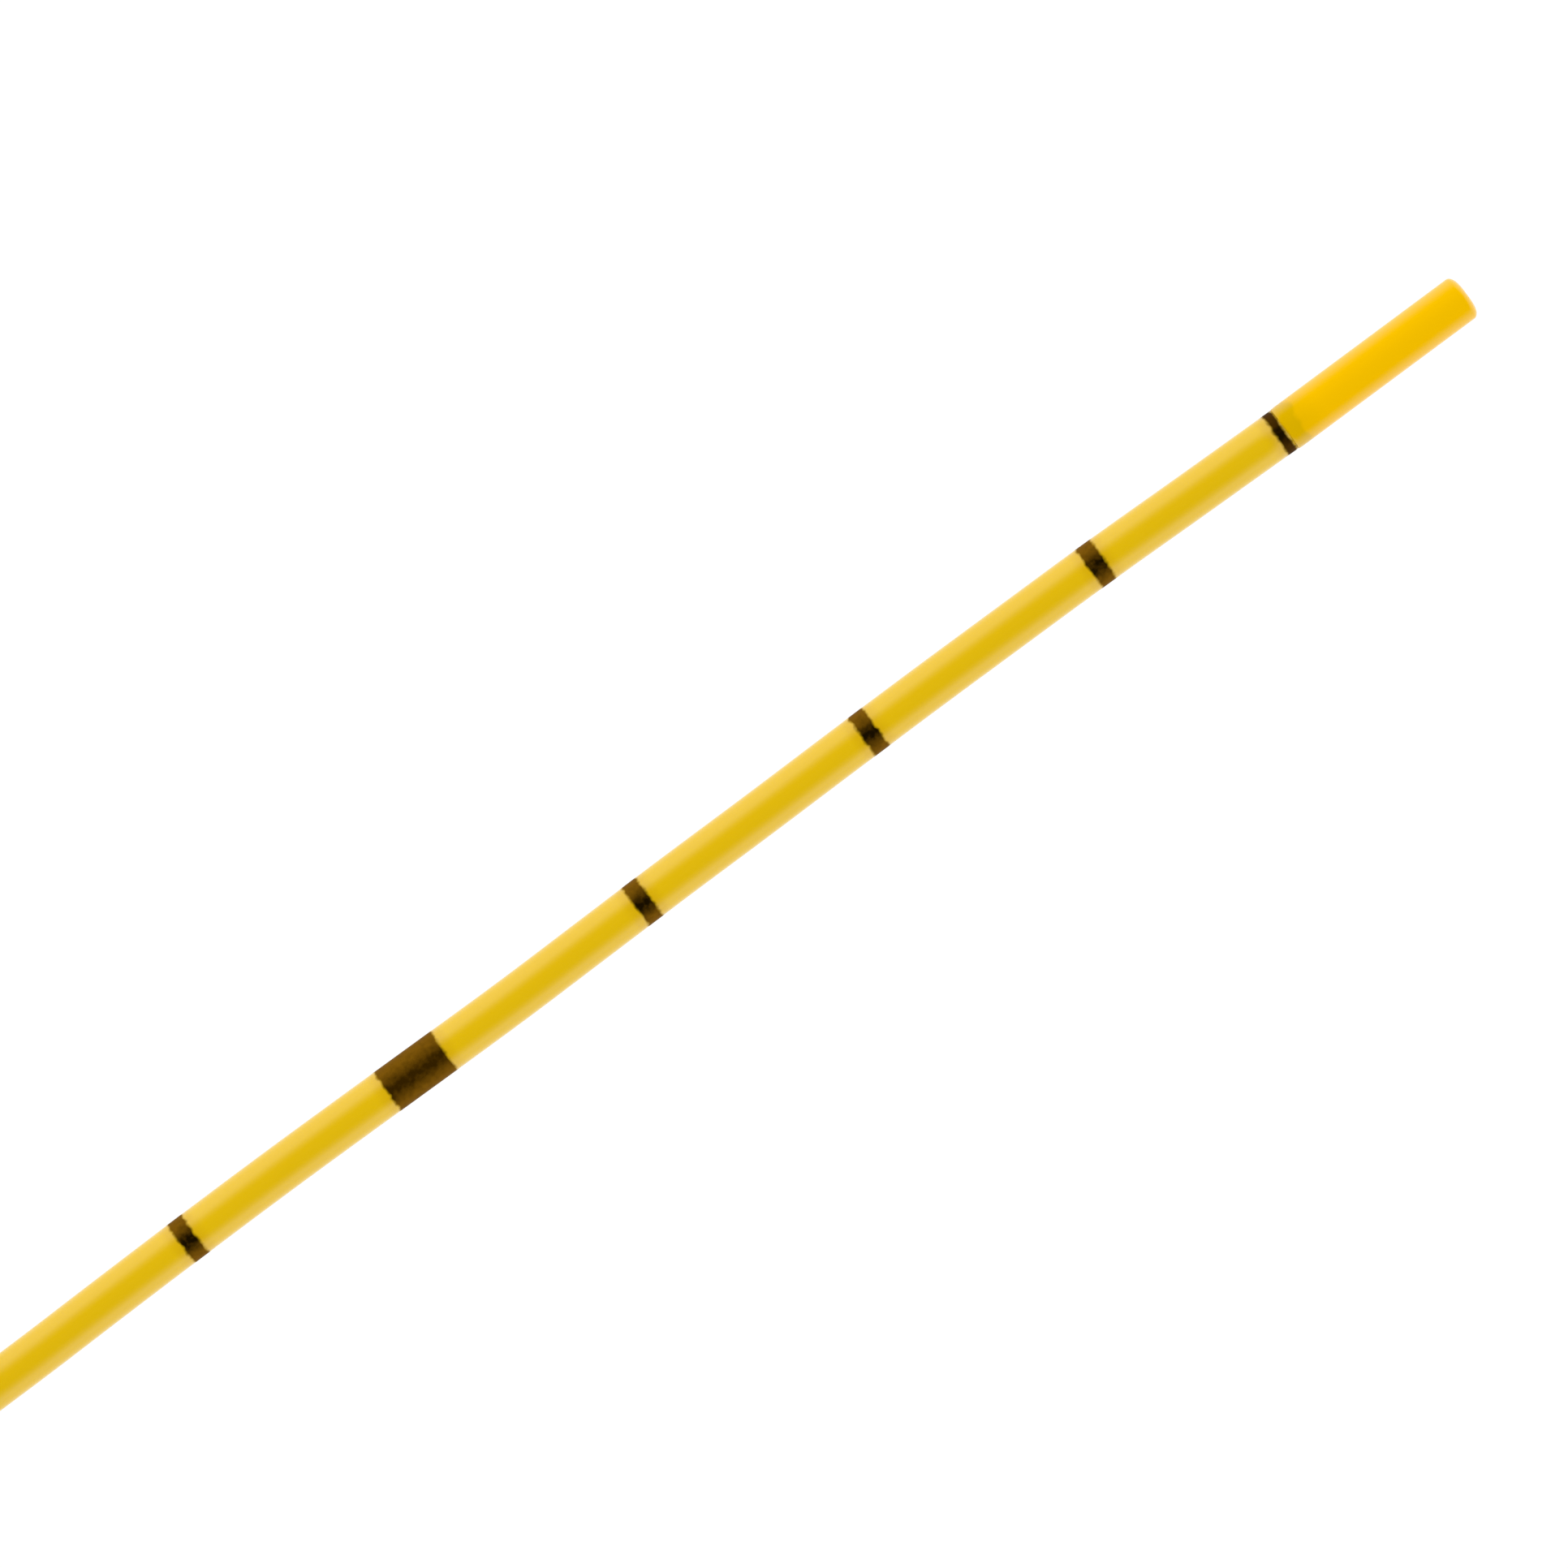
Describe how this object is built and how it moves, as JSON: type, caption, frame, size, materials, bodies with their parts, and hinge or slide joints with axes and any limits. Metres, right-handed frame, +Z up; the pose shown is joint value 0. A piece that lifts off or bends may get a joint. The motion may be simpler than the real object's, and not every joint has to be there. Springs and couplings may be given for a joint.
{
  "type": "graduated ureteral catheter",
  "caption": "Slim yellow open-end ureteral catheter with dark centimetre depth rings, a soft tip and a screw-down Luer-lock adapter, its spare length in a tied hank.",
  "frame": {"origin": "on the plane that the catheter lies on, under the middle of the line from the tip's end to the adapter's Luer rim", "axes": "+X along the straight stretch towards the soft tip, +Y to its left seen from above, +Z up from the surface"},
  "size_m": [0.1548, 0.0176, 0.011],
  "materials": {
    "shaft": "translucent yellow polyurethane, satin",
    "tip": "brighter, more opaque yellow, satin",
    "ink": "printed dark brown ink, ragged edges",
    "clear": "clear moulded plastic, gloss",
    "white": "white moulded plastic, satin",
    "seal": "grey silicone, matte",
    "paper": "white paper strap, matte"
  },
  "bodies": {
    "catheter": {"soft_tip": "tip", "shaft_straight": "shaft", "depth_mark_1": "ink", "depth_mark_2": "ink", "depth_mark_3": "ink", "depth_mark_4": "ink", "depth_mark_5": "ink", "depth_mark_6": "ink", "shaft_hank": "shaft", "hank_strap": "paper", "shaft_tail": "shaft"},
    "adapter": {"adapter_body": "clear", "seal_grommet": "seal"},
    "washer": {"thrust_washer": "white"},
    "cap": {"compression_cap": "white"}
  },
  "joints": [
    {"name": "adapter_slide", "type": "slide", "parent": "catheter", "child": "adapter", "axis": [-1, 0, 0], "range_m": [0, 0.018]},
    {"name": "cap_travel", "type": "slide", "parent": "adapter", "child": "washer", "axis": [1, 0, 0], "range_m": [0, 0.00225]},
    {"name": "cap_turn", "type": "hinge", "parent": "washer", "child": "cap", "pos_m": [-0.04743, 0, 0.0055], "axis": [1, 0, 0], "range_deg": [0, 540]}
  ],
  "couplings": [
    {"joint": "cap_turn", "follows": "cap_travel", "rad_per_m": 4188.8}
  ]
}
